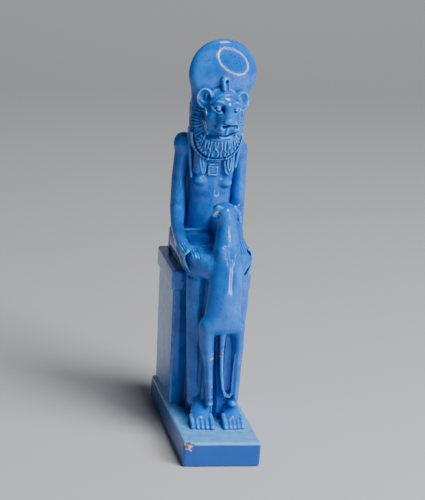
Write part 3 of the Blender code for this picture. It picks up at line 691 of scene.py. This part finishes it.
def skinned(clay):
    """The surface as points and four-sided faces: one point in each cell that the surface crosses."""
    field = clay.field
    inside = field < 0
    corners = list(itertools.product((0, 1), repeat=3))
    filled = np.zeros([n - 1 for n in field.shape], np.uint8)
    for corner in corners:
        filled += inside[tuple(slice(c, n - 1 + c) for c, n in zip(corner, field.shape))]
    crossed = (filled > 0) & (filled < 8)
    cells = np.argwhere(crossed)
    number = np.full(crossed.shape, -1, np.int32)
    number[crossed] = np.arange(len(cells))

    values = [field[tuple((cells + corner).T)] for corner in corners]
    total = np.zeros((len(cells), 3), np.float32)
    hits = np.zeros(len(cells), np.float32)
    for i, corner in enumerate(corners):
        for axis in range(3):
            if corner[axis]:
                continue
            other = corners.index(tuple(1 if a == axis else c for a, c in enumerate(corner)))
            cut = (values[i] < 0) != (values[other] < 0)
            point = np.tile(np.array(corner, np.float32), (int(cut.sum()), 1))
            point[:, axis] += values[i][cut] / (values[i][cut] - values[other][cut])
            total[cut] += point
            hits[cut] += 1
    points = clay.low + SAMPLE_STEP * (cells + total / hits[:, None])

    faces = []
    for axis in range(3):
        start = np.take(inside, range(field.shape[axis] - 1), axis)
        end = np.take(inside, range(1, field.shape[axis]), axis)
        edges = np.argwhere(start != end)
        outward = start[tuple(edges.T)]
        u, v = (axis + 1) % 3, (axis + 2) % 3
        ring = []
        for step_u, step_v in ((-1, -1), (0, -1), (0, 0), (-1, 0)):
            cell = edges.copy()
            cell[:, u] += step_u
            cell[:, v] += step_v
            ring.append(number[tuple(cell.T)])
        quads = np.stack(ring, 1)
        quads[~outward] = quads[~outward][:, ::-1]
        faces.append(quads)
    points = points.astype(np.float32)
    for _ in range(SURFACE_PASSES):
        slope = slopes(field, clay.low, points)
        steepness = np.maximum((slope * slope).sum(1), LEAST_STEEPNESS)
        step = slope * (sampled(field, clay.low, points) / steepness)[:, None]
        points -= np.clip(step, -SAMPLE_STEP / 2, SAMPLE_STEP / 2)
    return points, np.concatenate(faces)


def mesh_of(name, points, faces):
    """A mesh in metres, from points in millimetres above the plinth's top."""
    mesh = bpy.data.meshes.new(name)
    places = (points + np.array((0, 0, PLINTH_HEIGHT), np.float32)) * MM
    mesh.vertices.add(len(places))
    mesh.vertices.foreach_set("co", places.astype(np.float32).ravel())
    mesh.loops.add(faces.size)
    mesh.loops.foreach_set("vertex_index", faces.astype(np.int32).ravel())
    mesh.polygons.add(len(faces))
    mesh.polygons.foreach_set("loop_start", np.arange(0, faces.size, faces.shape[1], dtype=np.int32))
    mesh.update(calc_edges=True)
    mesh.validate()
    return mesh


def blurred(values, reach):
    """Each sample's mean over a cube that reaches this many samples each way."""
    width = 2 * reach + 1
    for axis in range(3):
        padding = [(reach + 1, reach) if i == axis else (0, 0) for i in range(3)]
        total = np.cumsum(np.pad(values, padding, mode="edge"), axis=axis, dtype=np.float32)
        count = values.shape[axis]
        upper = np.take(total, range(width, width + count), axis)
        values = (upper - np.take(total, range(count), axis)) / width
    return values


WORN_SPOTS = (
    # place above the plinth's top, and radius
    ((-2.6, -7.6, 67.0), 1.1),
    ((-3.8, -7.0, 62.6), 1.3),
    ((-1.7, -14.0, 21.6), 1.2),
    ((-1.2, -13.8, 12.6), 1.1),
    ((-0.9, -13.8, 9.2), 0.8),
    ((0.9, -14.6, 23.4), 0.9),
    ((3.4, -12.2, 26.0), 0.6),
    ((3.1, -12.2, 22.5), 0.7),
    ((3.2, -12.2, 18.5), 0.6),
    ((3.6, -12.2, 12.5), 0.6),
    ((-3.6, -8.6, 6.4), 1.1),
    ((-9.8, 0.6, 56.2), 0.7),
    ((-6.2, 1.0, 54.8), 0.9),
    ((-4.8, -1.0, 54.4), 0.8),
    ((-0.9, -4.4, 92.4), 0.5),
    ((0.4, -4.4, 92.3), 0.5),
    ((1.4, -14.4, 54.6), 0.5),
)


def note_hollows(mesh, clay):
    """Stores at each point how hollow the surface is, below 0 on edges, and how worn its glaze."""
    places = np.empty(len(mesh.vertices) * 3, np.float32)
    mesh.vertices.foreach_get("co", places)
    points = places.reshape(-1, 3) / MM - np.array((0, 0, PLINTH_HEIGHT), np.float32)
    for name, reach, limit in HOLLOWS:
        near = np.clip(clay.field, -limit, limit)
        value = -sampled(blurred(near, reach), clay.low, points) / (reach * SAMPLE_STEP)
        attribute = mesh.attributes.new(name, "FLOAT", "POINT")
        attribute.data.foreach_set("value", value)
    worn = np.zeros(len(points), np.float32)
    for place, radius in WORN_SPOTS:
        away = np.sqrt(((points - np.array(place, np.float32)) ** 2).sum(1)) / radius
        worn = np.maximum(worn, np.clip(WORN_FADE - away, 0, 1))
    mesh.attributes.new("worn", "FLOAT", "POINT").data.foreach_set("value", worn)


def thinned(mesh):
    """The mesh with its flat places merged, down to the faces kept."""
    carrier = bpy.data.objects.new("carrier", mesh)
    bpy.context.scene.collection.objects.link(carrier)
    thin = carrier.modifiers.new("thin", "DECIMATE")
    thin.ratio = min(1.0, FACES_KEPT / (2 * len(mesh.polygons)))
    graph = bpy.context.evaluated_depsgraph_get()
    result = bpy.data.meshes.new_from_object(carrier.evaluated_get(graph))
    bpy.data.objects.remove(carrier)
    bpy.data.meshes.remove(mesh)
    return result


def modelled():
    """The whole figurine in clay, from the disc down to the plinth."""
    clay = Clay()
    add_sun_disc(clay)
    add_wig(clay)
    add_ruff(clay)
    add_lappets(clay)
    add_lion_face(clay)
    add_uraeus(clay)
    add_torso(clay)
    add_arms(clay)
    add_legs(clay)
    add_feet(clay)
    add_standing_lion(clay)
    add_tail(clay)
    add_seat(clay)
    add_plinth(clay)
    return clay


def faience():
    """Blue glaze over a pale body: painted shade in hollows, where the glaze also pools, thin pale glaze
    on edges, worn through in spots, and painted light and shade on the plinth.
    """
    material = bpy.data.materials.new("blue faience")
    material.use_nodes = True
    tree = material.node_tree
    nodes, links = tree.nodes, tree.links
    shader = nodes["Principled BSDF"]

    def attribute(name):
        node = nodes.new("ShaderNodeAttribute")
        node.attribute_name = name
        return node.outputs["Fac"]

    def noise(size, detail=3.0):
        """Clouded noise from 0 to 1. Size is its grain in millimetres."""
        place = nodes.new("ShaderNodeTexCoord")
        node = nodes.new("ShaderNodeTexNoise")
        node.inputs["Scale"].default_value = 1 / (size * MM)
        node.inputs["Detail"].default_value = detail
        links.new(place.outputs["Object"], node.inputs["Vector"])
        return node.outputs["Fac"]

    def ramp(value, low, high, start=0.0, end=1.0):
        """The value's place between low and high, spread from start to end."""
        node = nodes.new("ShaderNodeMapRange")
        node.interpolation_type = "SMOOTHSTEP"
        for key, number in (("From Min", low), ("From Max", high), ("To Min", start), ("To Max", end)):
            node.inputs[key].default_value = number
        links.new(value, node.inputs["Value"])
        return node.outputs["Result"]

    def maths(operation, a, b):
        """Two values, or a value and a number, put together and kept from 0 to 1."""
        node = nodes.new("ShaderNodeMath")
        node.operation = operation
        node.use_clamp = True
        for socket, value in zip(node.inputs, (a, b)):
            if isinstance(value, float):
                socket.default_value = value
            else:
                links.new(value, socket)
        return node.outputs[0]

    def tinted(under, over, share):
        """One colour laid over another by a share."""
        node = nodes.new("ShaderNodeMix")
        node.data_type = "RGBA"
        links.new(share, node.inputs["Factor"])
        for socket, colour in ((node.inputs[6], under), (node.inputs[7], over)):
            if isinstance(colour, tuple):
                socket.default_value = (*colour, 1)
            else:
                links.new(colour, socket)
        return node.outputs[2]

    geometry = nodes.new("ShaderNodeNewGeometry")
    normal = nodes.new("ShaderNodeSeparateXYZ")
    links.new(geometry.outputs["Normal"], normal.inputs[0])
    place = nodes.new("ShaderNodeSeparateXYZ")
    links.new(geometry.outputs["Position"], place.inputs[0])
    upward = normal.outputs["Z"]
    depth, height = place.outputs["Y"], place.outputs["Z"]

    fine, broad, worn = attribute("fine_hollow"), attribute("broad_hollow"), attribute("worn")
    colour = tinted(GLAZE, GLAZE_VARIED, ramp(noise(7.0), 0.4, 0.65, 0.0, 0.9))
    colour = tinted(colour, GLAZE_MOTTLE_AND_PAINTED_SHADE, ramp(noise(4.0), 0.5, 0.75, 0.0, 0.6))
    # Painted shade: darker in broad recesses, corners and between parts, where shade falls.
    colour = tinted(colour, GLAZE_DARKEST_AND_PAINTED_SHADE, ramp(broad, 0.1, 0.9, 0.0, 0.7))
    # Darker in fine creases: partly the glaze pooling there, partly painted shade.
    colour = tinted(colour, GLAZE_DARKEST_AND_PAINTED_SHADE, ramp(fine, 0.03, 0.4, 0.0, 0.95))
    edge = maths("MULTIPLY", ramp(fine, -0.06, -0.36), ramp(noise(1.6), 0.3, 0.6, 0.3, 0.9))
    colour = tinted(colour, GLAZE_THIN_AND_PAINTED_HIGHLIGHT, edge)
    speckle = maths("MULTIPLY", ramp(noise(0.5, 1.0), 0.63, 0.73), ramp(noise(9.0), 0.4, 0.6, 0.1, 0.7))
    colour = tinted(colour, GLAZE_DARKEST_AND_PAINTED_SHADE, speckle)
    # Painted highlight: a bright line along the plinth's front top edge.
    rim = maths("MULTIPLY", ramp(height, *RIM_HIGHLIGHT_HEIGHTS), ramp(depth, *RIM_HIGHLIGHT_DEPTHS))
    colour = tinted(colour, GLAZE_THIN_AND_PAINTED_HIGHLIGHT, maths("MULTIPLY", rim, ramp(noise(2.0), 0.3, 0.6, 0.5, 0.9)))
    # Painted shade: the plinth's sides darker than its top, as under light from above.
    plinth_side_shade = maths("MULTIPLY", ramp(height, *PLINTH_SIDE_SHADE_HEIGHTS), ramp(upward, 0.6, 0.3))
    colour = tinted(colour, GLAZE_MOTTLE_AND_PAINTED_SHADE, maths("MULTIPLY", plinth_side_shade, 0.9))
    low_and_flat = maths("MULTIPLY", ramp(height, *PLINTH_TOP_HEIGHTS), ramp(upward, 0.6, 0.9))
    # The plinth's top: a paler, matte glaze, with painted light from above.
    plinth_top_pale_and_lit = maths("MULTIPLY", low_and_flat, ramp(noise(2.5), 0.3, 0.7, 0.55, 0.95))
    colour = tinted(colour, PLINTH_TOP_PALE_AND_LIT, plinth_top_pale_and_lit)
    body = tinted(BODY_PALE, BODY_BROWN, ramp(noise(0.9), 0.36, 0.52))
    bare = ramp(maths("SUBTRACT", worn, ramp(noise(0.7), 0.3, 0.7, 0.0, 0.75)), 0.12, 0.3, 0.0, 0.85)
    chip = nodes.new("ShaderNodeVectorMath")
    chip.operation = "DISTANCE"
    links.new(geometry.outputs["Position"], chip.inputs[0])
    chip.inputs[1].default_value = CHIP_PLACE
    chipped = ramp(chip.outputs["Value"], *CHIP_REACH)
    chipped = ramp(maths("SUBTRACT", chipped, ramp(noise(1.3), 0.35, 0.65, 0.0, 0.8)), 0.05, 0.2, 0.0, 0.9)
    bare = maths("MAXIMUM", bare, chipped)
    colour = tinted(colour, body, bare)
    links.new(colour, shader.inputs["Base Color"])
    dull = maths("MAXIMUM", maths("MULTIPLY", low_and_flat, 0.35), maths("MULTIPLY", bare, 0.6))
    links.new(maths("ADD", ramp(noise(3.0), 0.3, 0.7, 0.06, 0.12), dull), shader.inputs["Roughness"])
    return material


def direction(turn, height):
    """The way out to a place that is turned to the goddess's left and raised, both in radians."""
    level = math.cos(height)
    return Vector((math.sin(turn) * level, -math.cos(turn) * level, math.sin(height)))


def add_camera():
    """The photograph's viewing angle, from a little to the goddess's right and above."""
    turn, height, roll = map(math.radians, (CAMERA_TURN, CAMERA_HEIGHT, CAMERA_ROLL))
    back = direction(turn, height)
    right = Vector((math.cos(turn), math.sin(turn), 0))
    up = back.cross(right)
    right, up = (
        right * math.cos(roll) + up * math.sin(roll),
        up * math.cos(roll) - right * math.sin(roll),
    )
    data = bpy.data.cameras.new("camera")
    data.sensor_width = SENSOR_SIZE
    data.lens = SENSOR_SIZE * FOCAL_PIXELS / PHOTOGRAPH_PIXELS
    data.clip_end = 20.0
    camera = bpy.data.objects.new("camera", data)
    facing = Matrix((right, up, back)).transposed()
    place = Vector(CAMERA_TARGET) * MM + back * (CAMERA_DISTANCE * MM)
    camera.matrix_world = Matrix.Translation(place) @ facing.to_4x4()
    bpy.context.scene.collection.objects.link(camera)
    bpy.context.scene.camera = camera


def add_light(name, place, target, size, power, glossy=True):
    """A round lamp. One that isn't glossy lights the glaze but isn't mirrored in it."""
    data = bpy.data.lights.new(name, "AREA")
    data.shape = "DISK"
    data.size = size
    data.energy = power
    light = bpy.data.objects.new(name, data)
    light.location = place
    light.rotation_euler = (Vector(target) - Vector(place)).to_track_quat("-Z", "Y").to_euler()
    light.visible_camera = False
    light.visible_glossy = glossy
    bpy.context.scene.collection.objects.link(light)


def add_ring_light():
    """A ring of small lamps in front and to the goddess's left, which the glaze mirrors as thin loops."""
    middle = Vector(RING_TARGET)
    lean = math.radians(RING_LEAN)
    for i in range(RING_LAMPS):
        angle = 2 * math.pi * i / RING_LAMPS
        across = RING_HALF_SIZE[0] * math.cos(angle)
        up = RING_HALF_SIZE[1] * math.sin(angle)
        turn = math.radians(RING_TURN + across * math.cos(lean) - up * math.sin(lean))
        height = math.radians(RING_HEIGHT + across * math.sin(lean) + up * math.cos(lean))
        place = middle + direction(turn, height) * RING_DISTANCE
        add_light(f"ring lamp {i}", place, middle, RING_LAMP_SIZE, RING_POWER / RING_LAMPS)


def add_stage():
    """A pale floor that curves up into a backdrop, in metres."""
    width, front, bend, radius, height = 1.6, -1.2, 0.5, 0.35, 1.2
    profile = [(front, 0.0), (bend, 0.0)]
    for angle in np.radians(np.linspace(0, 90, 13)[1:]):
        profile.append((bend + radius * math.sin(angle), radius * (1 - math.cos(angle))))
    profile.append((bend + radius, height))
    points = [(side * width, y, z) for y, z in profile for side in (-1, 1)]
    faces = [(2 * i, 2 * i + 1, 2 * i + 3, 2 * i + 2) for i in range(len(profile) - 1)]
    mesh = bpy.data.meshes.new("floor")
    mesh.from_pydata(points, [], faces)
    mesh.shade_smooth()
    material = bpy.data.materials.new("pale floor")
    material.use_nodes = True
    shader = material.node_tree.nodes["Principled BSDF"]
    shader.inputs["Base Color"].default_value = (*FLOOR_COLOUR, 1)
    shader.inputs["Roughness"].default_value = 0.8
    mesh.materials.append(material)
    floor = bpy.data.objects.new("floor", mesh)
    bpy.context.scene.collection.objects.link(floor)


def add_lights():
    """A faint sky, a soft key lamp from her left, a lamp above and the ring."""
    world = bpy.data.worlds.new("soft light")
    world.use_nodes = True
    sky = world.node_tree.nodes["Background"]
    sky.inputs["Color"].default_value = (*WORLD_COLOUR, 1)
    sky.inputs["Strength"].default_value = WORLD_STRENGTH
    bpy.context.scene.world = world
    add_light("key", KEY_PLACE, LAMP_TARGET, KEY_SIZE, KEY_POWER, glossy=False)
    add_light("top", TOP_PLACE, LAMP_TARGET, TOP_SIZE, TOP_POWER)
    add_ring_light()


def main():
    """The figurine on the stage, in the photograph's view and light."""
    clay = modelled()
    points, faces = skinned(clay)
    mesh = thinned(mesh_of("figurine_form", points, faces))
    note_hollows(mesh, clay)
    mesh.shade_smooth()
    mesh.materials.clear()
    mesh.materials.append(faience())
    figurine = bpy.data.objects.new("moulded_figurine", mesh)
    bpy.context.scene.collection.objects.link(figurine)
    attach(figurine, "root")
    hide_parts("figurine")

    add_stage()
    add_camera()
    add_lights()


main()
